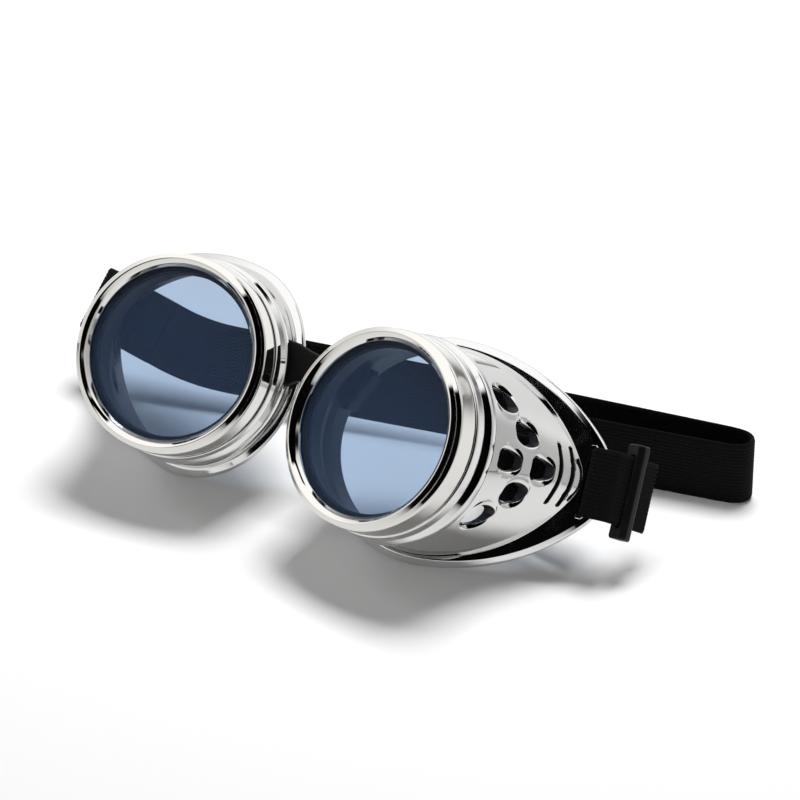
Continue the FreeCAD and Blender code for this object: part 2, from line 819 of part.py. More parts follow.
# Set the whole part down with the middle of its box on the origin
box = FreeCAD.BoundBox()
for piece in pieces:
    box.add(tight_box(piece))
settled = moved(-box.Center.x, -box.Center.y, -box.ZMin)
for piece in pieces:
    piece.Placement = settled * piece.Placement
document.recompute()

for item in document.Objects:
    if "Invalid" in item.State or "Error" in item.State:
        raise RuntimeError(f"{item.Name} failed: {item.State}")
for piece in pieces:
    if piece.Shape.isNull() or not piece.Shape.isValid():
        raise RuntimeError(f"{piece.Label} has no valid shape")

os.makedirs("parts", exist_ok=True)
for piece in pieces:
    piece.Shape.exportStep(f"parts/{piece.Label}.step")
    print(piece.Label, len(piece.Shape.Solids), round(piece.Shape.Volume, 1))
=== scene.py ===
import json
import math

import bmesh
import bpy
import numpy as np
from bpy.props import FloatProperty, FloatVectorProperty, IntProperty, PointerProperty
from mathutils import Matrix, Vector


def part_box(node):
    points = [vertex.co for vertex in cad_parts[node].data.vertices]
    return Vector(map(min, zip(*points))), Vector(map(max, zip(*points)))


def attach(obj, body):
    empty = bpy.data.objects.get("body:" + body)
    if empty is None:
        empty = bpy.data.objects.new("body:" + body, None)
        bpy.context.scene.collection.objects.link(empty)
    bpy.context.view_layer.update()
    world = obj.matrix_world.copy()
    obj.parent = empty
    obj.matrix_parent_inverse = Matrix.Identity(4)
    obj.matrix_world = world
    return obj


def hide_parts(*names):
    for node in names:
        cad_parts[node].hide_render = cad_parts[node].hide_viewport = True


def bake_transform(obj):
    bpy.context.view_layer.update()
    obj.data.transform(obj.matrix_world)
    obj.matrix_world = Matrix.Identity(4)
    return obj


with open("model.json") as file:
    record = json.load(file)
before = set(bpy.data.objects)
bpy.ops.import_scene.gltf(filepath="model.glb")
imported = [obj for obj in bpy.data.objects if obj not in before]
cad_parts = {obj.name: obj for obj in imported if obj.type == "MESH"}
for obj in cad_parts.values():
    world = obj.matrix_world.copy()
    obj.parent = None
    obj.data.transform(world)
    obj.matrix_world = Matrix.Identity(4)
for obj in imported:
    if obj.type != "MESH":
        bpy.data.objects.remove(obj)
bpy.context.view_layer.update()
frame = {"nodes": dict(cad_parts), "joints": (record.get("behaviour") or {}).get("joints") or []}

bl_info = {
    "name": "Cup goggles",
    "version": (1, 0, 0),
    "blender": (4, 5, 0),
    "location": "3D View > Sidebar > Goggles",
    "description": "Dresses the solids of cup goggles with plated shells, tinted lenses and a ribbed strap",
    "category": "Object",
}

MM = 0.001
SIDES = {"left": 1, "right": -1}
JOINTS = {joint["name"]: joint for joint in frame["joints"]}
EYES = {side: np.array(JOINTS[f"ring_{name}_turn"]["pos_m"]) for name, side in SIDES.items()}
MIDDLE = (EYES[1] + EYES[-1]) / 2

# How the goggles lie, in degrees, and where the lip starts behind the ring's face
LEAN = 37.15
TOE_IN = 7.72
TEMPLE_RISE = 8.5
RIM_SLOPE = 18.0
RIM_DEPTH = 33.0 * MM

# Egg outlines as nasal, flank and temple radius and reach
RIM_EGG = np.array((30.2, 52.0, 9.0, 44.3)) * MM
LIP_EGG = np.array((32.8, 66.0, 18.0, 52.2)) * MM
LIP_THICKNESS = 2.3 * MM
LIP_ROLL = np.array((2.0, 1.1)) * MM
# Corner radii from the rim round the lip to the inside
LIP_ROUNDS = np.array((0.25, 0.5, 0.8, 0.6, 0.5)) * MM
WALL = 2.3 * MM
# Grid columns in the temple, flank and nasal arc of one half of an egg
EGG_COUNTS = (42, 64, 38)

# Eyecup rings ahead of the body and behind it, as radius, depth and corner radius
NECK_RINGS = np.array((
    (23.5, 6.0, 0.2), (25.5, 6.0, 0.2), (27.0, 7.5, 0.2), (27.0, 10.3, 0.1), (29.5, 10.3, 0.7),
    (29.5, 14.0, 0.5), (28.1, 14.3, 0.3), (28.1, 14.7, 0.3), (30.3, 16.7, 0.5), (30.3, 19.0, 0.8),
    (28.3, 19.0, 0.3),
)) * MM
INSIDE_RINGS = np.array(((26.0, 19.0, 0.4), (26.0, 15.5, 0.4), (23.5, 11.0, 0.4))) * MM
# Runs between rings that are used by number, and the rows in each run
BORE_RUN, THREAD_RUN, BODY_RUN, LIP_RUN, BACK_RUN, INSIDE_RUN = 1, 2, 10, 11, 14, 15
RUN_STEPS = (2, 2, 26, 1, 2, 2, 2, 2, 2, 1, 84, 14, 2, 1, 16, 66, 2, 2, 2)
THREAD_PITCH = 2.5 * MM
THREAD_RIDGE = 0.24 * MM

# Openings as centre, half size, corner radius, edge rounding and flare in the flat they are seen in
VENT_START = 25.6
VENT_PITCH = (16.3, 4.8)
VENTS = np.array([((row - (2 - column) / 2) * VENT_PITCH[0], -VENT_START - column * VENT_PITCH[1],
                   0, 0, 3.35, 0.22, 1.2) for column in range(3) for row in range(3 - column)]) * MM
SLITS = np.array([(0, -depth, 8.55, 0.35, 0.2, 0.12, 0) for depth in (43.79, 40.29)]) * MM
STRAP_SLOT = np.array(((45.8, 0, 1.0, 10.15, 0.2, 0.25, 0),)) * MM
# Rows in an opening's rounded edge, shares of its flare, and how far its wall runs past the inside
EDGE_ROWS = 7
FLARE_NARROWS = 0.3
FLARE_SINKS = 0.5
WALL_PAST = 0.05 * MM

# Sections of the screw ring and the lens as radius, depth and corner radius
RING_PROFILE = np.array((
    (25.0, 3.0, 0.1), (25.0, 2.3, 0.15), (25.9, 1.05, 0.4), (26.9, 0.2, 0.3), (27.3, 0.05, 0.35),
    (28.6, 0.85, 0.02), (27.75, 2.4, 0.05), (29.0, 3.3, 0.45), (29.0, 10.0, 0.4), (27.3, 10.0, 0.3),
    (27.3, 6.2, 0.2), (26.2, 6.2, 0.2), (26.2, 3.0, 0.1),
)) * MM
LENS_PROFILE = np.array(((0, 5.0, 0), (26.0, 5.0, 0.25), (26.0, 3.05, 0.25), (0, 3.05, 0))) * MM
RING_COLUMNS = 288
LENS_COLUMNS = 192

# Bridge: slant in degrees, axis, reach and half sizes of its heads, place, and each edge's height and sag
BRIDGE_SLANT = 20.5
BRIDGE_AXIS = 38.26 * MM
BRIDGE_REACH = 23.8 * MM
BRIDGE_HEAD = np.array((1.0, 6.4, 3.0, 0.6)) * MM
BRIDGE_ROUND = 0.7 * MM
BRIDGE_RISE = 24.4 * MM
BRIDGE_SPAN = 8.6 * MM
BRIDGE_EDGES = ((2.035 * MM, 4.0 * MM), (15.335 * MM, -1.2 * MM))

# Strap: places along the lip and out from its front, and its ends' angles in degrees and lengths
SLOT_ALONG = 46.0 * MM
EDGE_ALONG = 53.2 * MM
FRONT_OUT = 1.0 * MM
FOLD_OUT = -7.8 * MM
SEWN_OUTER = -3.3 * MM
SEWN_INNER = -5.117 * MM
STRAP_REST = 10.0 * MM
TAIL_ANGLE = 62.8
TAIL_LENGTH = 16.7 * MM
SEWN_ANGLE = 153.0
SEWN_TAIL = 14.0 * MM
SLIDER_AT = 8.5 * MM
STRAP_SPACING = 0.9 * MM
# Where the strap hangs free, from its tail and from its sewn end, and how the folds there are eased
FREE_FROM, FREE_TO, FREE_EASE = 40 * MM, 52 * MM, 12 * MM
BELL_REACH, BELL_WIDTH = 9.0 * MM, 3.4 * MM

# Slider's slot, side and ridge in millimetres, as half width, low, high and corner radius
SLIDER_OUTLINES = ((10.4, -0.95, 0.95, 0.4), (13.6, -2.6, 1.3, 0.9), (13.6, -2.6, 2.7, 0.9))

# Stitches: rows along the sewn end, number and pitch across it, half sizes, and points round and over each
STITCH_ROWS = (5.5 * MM, 11.5 * MM)
STITCH_PLACES = np.arange(-2, 3)
STITCH_PITCH = 3.2 * MM
STITCH_HALF = np.array((0.28, 0.3, 1.25)) * MM
STITCH_GRID = (13, 9)

# Studio sides that are mirrored as dark: direction, cosine where full and at the edge, level
DARK_SIDES = (((0.485, -0.747, 0.454), 0.755, 0.719, 0.002), ((0.554, -0.148, 0.819), 0.961, 0.927, 0.002),
              ((0.893, 0.157, 0.423), 0.906, 0.707, 0.6))
# Dark band overhead, as ramps over parts of the direction that are multiplied, and the ceiling's ramp over Z
DARK_BAND = (("Z", 0.875, 0.905, 0, 1), ("Z", 0.968, 0.982, 1, 0), ("X", 0.0, 0.06, 0, 1))
CEILING = (0.35, 0.8, 1.0, 1.45)
ROOM_LIGHT = 0.15
VEIL_SHARE = 0.032
FLOOR_GLOW = 0.08
FLOOR_HALF = 3.0
FLOOR_DROP = 0.3 * MM
# Lamps as place, aim, size and power
SOFTBOXES = {
    "overhead_softbox": ((0.0, 0.30, 0.95), (0, 0, 0), 0.4, 10.6),
    "front_softbox": ((-0.50, -0.35, 0.75), (0, 0, 0.02), 0.3, 0.8),
}
# Camera's azimuth and elevation in degrees, its place from the eyes' middle, and its lens
CAMERA_TURN = (34.71, 31.95)
CAMERA_PLACE = np.array((37.58, -3.13, 1177.7)) * MM
CAMERA_FOCAL = 189.0
CAMERA_SENSOR = 36.0


def turn(axis, degrees):
    """Rotation matrix about one axis."""
    return np.array(Matrix.Rotation(math.radians(degrees), 3, axis))


def eye_axes(side):
    """Columns are one eye's own axes: X across, Y up its face and Z out along its lens."""
    return turn("X", -LEAN) @ turn("Z", -side * TOE_IN) @ turn("X", 90) @ turn("Z", side * TEMPLE_RISE)


def eye_to_part(points, side):
    """Points written for the left eye, put in place for either: X is mirrored on the right."""
    return (points * (side, 1, 1)) @ eye_axes(side).T + EYES[side]


def lip_to_eye(points):
    """Points by the sloping lip: along it to the temple, up it, and out from its front."""
    return points @ turn("Y", RIM_SLOPE).T - (0, 0, RIM_DEPTH)


def eye_to_lip(points):
    """The same points seen in the lip's own frame."""
    return (points + (0, 0, RIM_DEPTH)) @ turn("Y", RIM_SLOPE)


def temple_flat(points):
    """Seen along the eye's X from the temple: up, out and across; the nasal side is moved out of the way."""
    return np.stack((np.where(points[..., 0] > 0, points[..., 1], 1.0), points[..., 2], points[..., 0]), -1)


def temple_back(flat):
    """From the temple's view to the eye's frame again."""
    return flat[..., (2, 0, 1)]


def unit(vectors):
    """Vectors divided by their lengths."""
    return vectors / np.maximum(np.linalg.norm(vectors, axis=-1, keepdims=True), 1e-12)


def egg_arcs(nasal, flank, temple, reach):
    """Centres, radii and angles of the temple, flank and nasal arcs of an egg's upper half.

    The flank's circle touches both end circles from outside: its centre is on the lines through theirs."""
    to_nasal = flank - nasal
    to_temple = flank - temple
    temple_x = reach - temple
    flank_x = (to_nasal ** 2 - to_temple ** 2 + temple_x ** 2) / (2 * temple_x)
    flank_y = math.sqrt(to_nasal ** 2 - flank_x ** 2)
    cheek = math.atan2(flank_y, temple_x - flank_x)
    shoulder = math.atan2(flank_y, -flank_x)
    return ((temple_x, 0, temple, 0, cheek), (flank_x, -flank_y, flank, cheek, shoulder),
            (0, 0, nasal, shoulder, math.pi))


def closed_from_half(half):
    """A curve symmetric about X from its upper half, which holds both ends."""
    return np.concatenate((half[:-1], half[:0:-1] * (1, -1)))


def egg_curve(nasal, flank, temple, reach):
    """Closed egg: each arc is its centre plus its radius times cosine and sine of evenly spaced angles."""
    half = []
    for (x, y, radius, start, end), count in zip(egg_arcs(nasal, flank, temple, reach), EGG_COUNTS):
        angle = np.linspace(start, end, count, endpoint=False)
        half.append(np.stack((x + radius * np.cos(angle), y + radius * np.sin(angle)), -1))
    half.append(np.array(((-nasal, 0),)))
    return closed_from_half(np.concatenate(half))


def raised(curve, height):
    """Points of a flat curve, all at one height."""
    return np.concatenate((curve, np.full((len(curve), 1), height)), -1)


def circle_curve(radius):
    """Circle with the egg's columns, whose spacing changes where the rim egg's arcs meet."""
    _, flank, nasal = egg_arcs(*RIM_EGG)
    cheek = math.atan2(flank[1] + flank[2] * math.sin(flank[3]), flank[0] + flank[2] * math.cos(flank[3]))
    keys = (0, cheek, nasal[3], math.pi)
    angle = np.concatenate([np.linspace(keys[part], keys[part + 1], count, endpoint=False)
                            for part, count in enumerate(EGG_COUNTS)] + [np.array((math.pi,))])
    return closed_from_half(radius * np.stack((np.cos(angle), np.sin(angle)), -1))


def run_shares(count):
    """Where the rows of a run stand along it: evenly, or close to both ends where there are only two."""
    if count == 2:
        return np.array((0.06, 0.94))
    return np.linspace(0, 1, count + 2)[1:-1]


def rounded_rows(corners, radii, steps, arc=6, closed=True):
    """Rows of a surface that runs through rings of corners, and the slice of rows of each run.

    A corner ring is cut back by its radius along the runs to both neighbours, and a quadratic Bezier arc with
    the corner as its middle point bridges the cut. The run to the next corner is divided straight."""
    count = len(corners)
    ahead = np.roll(corners, -1, axis=0) - corners
    length = np.linalg.norm(ahead[..., :3], axis=-1, keepdims=True)
    ahead = ahead / np.maximum(length, 1e-12)
    cut = np.minimum(np.minimum(length, np.roll(length, 1, axis=0)) * 0.48, np.reshape(radii, (-1, 1, 1)))
    if not closed:
        cut[0] = cut[-1] = 0
    enter = corners - np.roll(ahead, 1, axis=0) * cut
    leave = corners + ahead * cut
    share = np.linspace(0, 1, arc).reshape(-1, 1, 1)
    rows, runs, total = [], [], 0
    for number in range(count):
        rows.append((1 - share) ** 2 * enter[number] + 2 * share * (1 - share) * corners[number]
                    + share ** 2 * leave[number])
        total += arc
        if closed or number < count - 1:
            way = run_shares(steps[number]).reshape(-1, 1, 1)
            rows.append(leave[number] + way * (enter[(number + 1) % count] - leave[number]))
            runs.append(slice(total - 1, total + steps[number] + 1))
            total += steps[number]
    return np.concatenate(rows), runs


def grid_faces(grid, closed_rows, closed_columns):
    """Corner numbers of the quads between neighbouring rows and columns of a grid."""
    rows, columns = grid.shape[:2]
    row, column = np.meshgrid(np.arange(rows - 1 + closed_rows), np.arange(columns - 1 + closed_columns),
                              indexing="ij")
    below, beside = (row + 1) % rows, (column + 1) % columns
    return np.stack((row * columns + column, row * columns + beside, below * columns + beside,
                     below * columns + column), -1)


def joined(grids):
    """Points and faces of several grids as one: each grid's numbers follow those before it."""
    count, points, faces = 0, [], []
    for grid, quads in grids:
        points.append(grid.reshape(-1, 3))
        faces.append(quads.reshape(-1, 4) + count)
        count += len(points[-1])
    return np.concatenate(points), np.concatenate(faces)


def add_object(name, data):
    """Object for some data, in the scene."""
    made = bpy.data.objects.new(name, data)
    bpy.context.scene.collection.objects.link(made)
    return made


def make_piece(name, points, faces, material, body=None, nodes=(), uv=None, layer="weave"):
    """Mesh object from vertex and quad arrays, welded, turned outwards and smooth; it rides on its body."""
    used, faces = np.unique(faces, return_inverse=True)
    points, faces = points.reshape(-1, 3)[used], faces.reshape(-1, 4)
    mesh = bpy.data.meshes.new(name)
    mesh.from_pydata(points.tolist(), [], faces.tolist())
    if uv is not None:
        mesh.uv_layers.new(name=layer).data.foreach_set("uv", uv.astype(np.float32).ravel())
    shell = bmesh.new()
    shell.from_mesh(mesh)
    bmesh.ops.remove_doubles(shell, verts=shell.verts, dist=0.002 * MM)
    bmesh.ops.recalc_face_normals(shell, faces=shell.faces)
    shell.to_mesh(mesh)
    shell.free()
    mesh.polygons.foreach_set("use_smooth", np.ones(len(mesh.polygons), dtype=bool))
    mesh.materials.append(material)
    piece = add_object(name, mesh)
    if body:
        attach(piece, body)
    if nodes:
        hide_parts(*nodes)
    return piece


def hole_distance(flat, holes, share):
    """Signed distance from points in the flat to each hole, below zero inside: a box with round corners.

    A share of the edge rounding adds to the corner radius, and a share of the flare to the half height."""
    holes = holes[:, None, None]
    half = holes[..., 2:4] + share * holes[..., 6:] * (1, 0)
    beyond = np.abs(flat[..., :2] - holes[..., :2]) - half
    outside = np.linalg.norm(np.maximum(beyond, 0), axis=-1)
    return outside + np.minimum(beyond.max(-1), 0) - (holes[..., 4] + share * holes[..., 5])


def surface_normals(block):
    """Normals of a grid that is closed round its columns, from its differences both ways."""
    down = np.gradient(block, axis=0)
    beside = np.roll(block, -1, axis=1) - np.roll(block, 1, axis=1)
    return unit(np.cross(down, beside))


def cut_openings(rows, run, keep, project, place, holes, share):
    """Opens holes in one run of rows, and returns each hole's edge points in order with the way out from it.

    Faces with four corners inside a hole go. The inside corners of the others move along the distance's slope
    to the hole's edge, and the surface's normal gives how far they rise or sink to stay on the surface."""
    flat = project(rows[run])
    normal = surface_normals(flat)
    distance = hole_distance(flat, holes, share)
    nearest = distance.argmin(0)
    depth = distance.min(0)
    nudge = 0.01 * MM
    slope = unit(np.stack([(hole_distance(flat + step, holes, share).min(0) - depth) / nudge
                           for step in np.eye(2, 3) * nudge], -1))
    inside = depth < 0
    beside = inside & np.roll(inside, -1, axis=1)
    gone = beside[:-1] & beside[1:]
    keep[run.start:run.stop - 1] &= ~gone
    all_gone = np.zeros_like(inside)
    before = np.roll(gone, 1, axis=1)
    all_gone[1:-1] = gone[:-1] & gone[1:] & before[:-1] & before[1:]
    edge = inside & ~all_gone
    move = -depth[..., None] * slope
    rise = -(normal[..., :2] * move).sum(-1) / np.where(np.abs(normal[..., 2]) < 0.05, 1, normal[..., 2])
    flat = np.where(edge[..., None], flat + np.concatenate((move, rise[..., None]), -1), flat)
    rows[run] = place(flat)
    edges = []
    for number, hole in enumerate(holes):
        chosen = edge & (nearest == number)
        points, outward = flat[chosen], slope[chosen]
        seen = (points[:, :2] - hole[:2]) / (hole[2:4] + hole[4])
        order = np.argsort(np.arctan2(seen[:, 1], seen[:, 0]))
        edges.append((points[order], outward[order]))
    return edges, flat, normal


def hole_wall(edge, outward, far, far_normal, hole):
    """Wall of one hole: a quarter round off its edge, then straight to the far surface.

    The round is as wide as the hole's margin, and wider and deeper by the flare above and below it.
    The far surface's height at a point is its nearest vertex's, carried along that vertex's plane."""
    margin, flare = hole[5:7]
    reach = hole[2] + hole[4]
    inner = edge[:, :2] - outward * margin
    inner[:, 0] = hole[0] + (inner[:, 0] - hole[0]) * (reach - FLARE_NARROWS * flare) / (reach + flare)
    angle = np.linspace(0, math.pi / 2, EDGE_ROWS).reshape(-1, 1, 1)
    flat = edge[:, :2] + (inner - edge[:, :2]) * np.sin(angle)
    sink = margin + FLARE_SINKS * flare * outward[:, 0] ** 2
    through = edge[:, 2] - sink * (1 - np.cos(angle[..., 0]))
    rounded = np.concatenate((flat, through[..., None]), -1)
    far = far.reshape(-1, 3)
    far_normal = far_normal.reshape(-1, 3)
    close = ((flat[-1][:, None] - far[None, :, :2]) ** 2).sum(-1).argmin(1)
    offset = flat[-1] - far[close, :2]
    fall = (far_normal[close, :2] * offset).sum(-1) / far_normal[close, 2]
    last = np.concatenate((flat[-1], (far[close, 2] - fall - WALL_PAST)[:, None]), -1)
    return np.concatenate((rounded, last[None]))


def raise_thread(neck, side):
    """Raises a smooth ridge where depth over pitch, less the share of a turn, comes to a half."""
    round_share = np.arctan2(neck[..., 1], side * neck[..., 0]) / (2 * math.pi)
    phase = (neck[..., 2] / THREAD_PITCH - round_share) % 1.0
    ends = np.sin(np.linspace(0, math.pi, len(neck)))[:, None] ** 0.5
    ridge = THREAD_RIDGE * np.clip(1.6 - 6.4 * np.abs(phase - 0.5), 0, 1) * ends
    neck[..., :2] *= (1 + ridge / np.linalg.norm(neck[..., :2], axis=-1))[..., None]


def eyecup_grid(side):
    """Eyecup as one closed grid: round the eye in columns, along the wall's section in rows.

    Circles run from the neck to the body, whose ruled wall goes on to the rim egg in the sloping lip's plane;
    the lip and the inside return to the neck. A share per point tells bare inside from plated outside."""
    rings = [raised(circle_curve(radius), -depth) for radius, depth, _ in NECK_RINGS]
    rings += [lip_to_eye(raised(egg_curve(*egg), out)) for egg, out in (
        (RIM_EGG, 0), (LIP_EGG - LIP_ROLL[0], 0), (LIP_EGG, -LIP_ROLL[1]), (LIP_EGG, -LIP_THICKNESS),
        (RIM_EGG - WALL, -LIP_THICKNESS))]
    rings += [raised(circle_curve(radius), -depth) for radius, depth, _ in INSIDE_RINGS]
    radii = np.concatenate((NECK_RINGS[:, 2], LIP_ROUNDS, INSIDE_RINGS[:, 2]))
    rows, runs = rounded_rows(np.array(rings), radii, RUN_STEPS)
    raise_thread(rows[runs[THREAD_RUN]], side)

    keep = np.ones(rows.shape[:2], dtype=bool)
    walls = []
    for front, back, project, place, holes in (
            (BODY_RUN, INSIDE_RUN, temple_flat, temple_back, np.concatenate((VENTS, SLITS))),
            (LIP_RUN, BACK_RUN, eye_to_lip, lip_to_eye, STRAP_SLOT)):
        saved = rows[runs[front]].copy(), rows[runs[back]].copy()
        _, far, far_normal = cut_openings(rows, runs[back], keep, project, place, holes, 0)
        edges, _, _ = cut_openings(rows, runs[front], keep, project, place, holes, 1)
        for run, before in zip((front, back), saved):
            rows[runs[run]] = np.where(before[..., :1] <= 0, before, rows[runs[run]])
        walls += [place(hole_wall(edge, outward, far, far_normal, hole))
                  for (edge, outward), hole in zip(edges, holes)]
    row = np.arange(len(rows))
    inside = (row >= runs[INSIDE_RUN].start) | (row < runs[BORE_RUN].stop)
    bare = [np.repeat(inside, rows.shape[1])]
    bare += [np.repeat(np.arange(len(wall)) >= EDGE_ROWS - 1, wall.shape[1]) for wall in walls]
    points, faces = joined([(rows, grid_faces(rows, True, True)[keep])]
                           + [(wall, grid_faces(wall, False, True)) for wall in walls])
    return points, faces, np.concatenate(bare).astype(float)


def lathe(profile, columns, closed=True):
    """Profile of radius, depth and corner radius turned about the eye's Z: each row is a circle."""
    angle = np.linspace(0, 2 * math.pi, columns, endpoint=False)
    circle = np.stack((np.cos(angle), np.sin(angle)), -1)
    rings = np.array([raised(radius * circle, -depth) for radius, depth, _ in profile])
    rows, _ = rounded_rows(rings, profile[:, 2], (2,) * len(profile), closed=closed)
    return rows, grid_faces(rows, closed, True)


def add_node(tree, kind, inputs=None, **settings):
    """Node with its settings, and its sockets linked or set."""
    made = tree.nodes.new(kind)
    for name, value in settings.items():
        setattr(made, name, value)
    for socket, value in (inputs or {}).items():
        if isinstance(value, bpy.types.NodeSocket):
            tree.links.new(value, made.inputs[socket])
        else:
            made.inputs[socket].default_value = value
    return made


def combine(tree, operation, first, second):
    """Two values or sockets combined by one operation."""
    return add_node(tree, "ShaderNodeMath", {0: first, 1: second}, operation=operation).outputs[0]


def noise(tree, place, scale, detail, **more):
    """Value of a noise, with more of its sockets by name."""
    return add_node(tree, "ShaderNodeTexNoise", {
        "Vector": place, "Scale": scale, "Detail": detail, **more}).outputs["Fac"]


def ramp(tree, value, start, end, low, high, kind="SMOOTHSTEP"):
    """Value taken from one range to another and held at its ends."""
    return add_node(tree, "ShaderNodeMapRange", {
        "Value": value, "From Min": start, "From Max": end, "To Min": low, "To Max": high},
        interpolation_type=kind).outputs["Result"]


def mixed(tree, share, first, second, kind="RGBA"):
    """Colour or value between two by a share."""
    return add_node(tree, "ShaderNodeMix", {"Factor": share, "A": first, "B": second},
                    data_type=kind).outputs["Result"]


def mixed_shader(tree, share, first, second):
    """Shader between two by a share."""
    return add_node(tree, "ShaderNodeMixShader", {0: share, 1: first, 2: second}).outputs["Shader"]


def bump(tree, height, strength, distance):
    """Normal of a surface raised by a height."""
    return add_node(tree, "ShaderNodeBump", {
        "Height": height, "Strength": strength, "Distance": distance}).outputs["Normal"]


def opaque(colour, share=1.0):
    """A share of a colour, with full cover."""
    return (*(share * value for value in colour), 1)


def new_group(name, inputs, outputs):
    """Empty shader node group with a place and values as inputs, and values as outputs."""
    group = bpy.data.node_groups.new(name, "ShaderNodeTree")
    group.interface.new_socket(name="Vector", in_out="INPUT", socket_type="NodeSocketVector")
    for way, labels in (("INPUT", inputs), ("OUTPUT", outputs)):
        for label in labels:
            group.interface.new_socket(name=label, in_out=way, socket_type="NodeSocketFloat")
    return group, group.nodes.new("NodeGroupInput").outputs, group.nodes.new("NodeGroupOutput").inputs


def use_group(tree, group, place, **values):
    """Outputs of a node group at a place, with its other sockets set by name."""
    return add_node(tree, "ShaderNodeGroup", {"Vector": place, **values}, node_tree=group).outputs


def handling_group():
    """Finger smears and fine dust of a handled smooth surface, as a roughness and a height."""
    group = bpy.data.node_groups.get("handling")
    if group:
        return group
    group, given, result = new_group("handling", ("Smooth", "Smeared"), ("Roughness", "Height"))
    place = given["Vector"]
    smear = noise(group, place, 70.0, 4.0, Roughness=0.6, Distortion=0.8)
    patch = ramp(group, smear, 0.42, 0.75, given["Smooth"], given["Smeared"])
    dust = ramp(group, noise(group, place, 1800.0, 2.0), 0.62, 0.8, 0.0, 0.05, "LINEAR")
    group.links.new(combine(group, "ADD", patch, dust), result["Roughness"])
    group.links.new(noise(group, place, 130.0, 1.0), result["Height"])
    return group


def grain_group():
    """Fine grain of moulded rubber or plastic, with paler scuffs, as a mask and a height."""
    group = bpy.data.node_groups.get("moulded_grain")
    if group:
        return group
    group, given, result = new_group("moulded_grain", ("Scale",), ("Scuff", "Height"))
    place, scale = given["Vector"], given["Scale"]
    cells = add_node(group, "ShaderNodeTexVoronoi", {"Vector": place, "Scale": scale}, feature="SMOOTH_F1")
    height = combine(group, "MULTIPLY", cells.outputs["Distance"], noise(group, place, scale, 5.0))
    wear = noise(group, place, 140.0, 6.0, Roughness=0.7)
    group.links.new(ramp(group, wear, 0.5, 0.8, 0.0, 1.0, "LINEAR"), result["Scuff"])
    group.links.new(height, result["Height"])
    return group


def finish(name, build):
    """Material of that name, built on first use; the frame's own plain materials bear the slots' names."""
    material = bpy.data.materials.get(name)
    if material:
        return material
    material = bpy.data.materials.new(name)
    material.use_nodes = True
    tree = material.node_tree
    tree.nodes.clear()
    place = tree.nodes.new("ShaderNodeTexCoord").outputs["Object"]
    shader = build(tree, place, bpy.context.scene.goggle_finishes)
    tree.links.new(shader, tree.nodes.new("ShaderNodeOutputMaterial").inputs["Surface"])
    return material


def principled(tree, inputs):
    """Principled shader."""
    return add_node(tree, "ShaderNodeBsdfPrincipled", inputs).outputs["BSDF"]


def plating(tree, place, colour, worn, moulding=None):
    """Bright plating on moulded plastic: a mirror with faint ripples, smears and slightly yellowed patches.

    Where a moulding's colour is given, the plating ends where the piece's bare share begins."""
    handled = use_group(tree, handling_group(), place, Smooth=0.035, Smeared=0.11)
    tone = mixed(tree, noise(tree, place, 28.0, 3.0), opaque(colour), opaque(worn))
    metal, rough = 1.0, handled["Roughness"]
    if moulding:
        lay = add_node(tree, "ShaderNodeUVMap", uv_map="bare").outputs["UV"]
        bare = add_node(tree, "ShaderNodeSeparateXYZ", {"Vector": lay}).outputs["X"]
        tone = mixed(tree, bare, tone, opaque(moulding))
        metal = ramp(tree, bare, 0.0, 1.0, 1.0, 0.0, "LINEAR")
        rough = mixed(tree, bare, rough, 0.45, "FLOAT")
    return principled(tree, {"Base Color": tone, "Metallic": metal, "Roughness": rough,
                             "Normal": bump(tree, handled["Height"], 0.12, 0.4 * MM)})


def cup_plating(tree, place, colours):
    """Cool bright plating outside the eyecups, with their black moulding bare inside."""
    return plating(tree, place, colours.plating, colours.plating_worn, colours.black)


def ring_plating(tree, place, colours):
    """Warmer plating of the screw rings."""
    return plating(tree, place, colours.ring_plating, colours.plating_worn)


def tinted_lens(tree, place, colours):
    """Blue cast lens: clear tinted sheet with faint smears; its shadow lets blue light through."""
    handled = use_group(tree, handling_group(), place, Smooth=0.0, Smeared=0.02)
    tint = mixed(tree, noise(tree, place, 20.0, 2.0), opaque(colours.lens), opaque(colours.lens_deep))
    sheet = principled(tree, {"Base Color": tint, "Roughness": handled["Roughness"], "Metallic": 0.0,
                              "Transmission Weight": 0.99, "IOR": 1.2})
    veil = add_node(tree, "ShaderNodeBsdfDiffuse", {"Color": opaque(colours.lens_veil)})
    veiled = mixed_shader(tree, VEIL_SHARE, sheet, veil.outputs["BSDF"])
    clear = add_node(tree, "ShaderNodeBsdfTransparent", {"Color": tint})
    path = tree.nodes.new("ShaderNodeLightPath").outputs
    return mixed_shader(tree, path["Is Shadow Ray"], veiled, clear.outputs["BSDF"])


def black_moulding(tree, place, black, scale, low, high, rough, bump_depth):
    """Black rubber or plastic: fine moulded grain, paler where it is scuffed."""
    grain = use_group(tree, grain_group(), place, Scale=scale)
    scuff = grain["Scuff"]
    return principled(tree, {
        "Base Color": mixed(tree, scuff, opaque(black, low), opaque(black, high)),
        "Roughness": ramp(tree, scuff, 0.0, 1.0, rough, rough + 0.18, "LINEAR"),
        "Normal": bump(tree, grain["Height"], 0.35, bump_depth), "Specular IOR Level": 0.25})


def bridge_rubber(tree, place, colours):
    """Soft black bridge rubber."""
    return black_moulding(tree, place, colours.black, 2600.0, 0.6, 1.2, 0.6, 0.1 * MM)


def slider_plastic(tree, place, colours):
    """Harder black plastic of the slider."""
    return black_moulding(tree, place, colours.black, 1500.0, 0.9, 2.2, 0.4, 0.06 * MM)


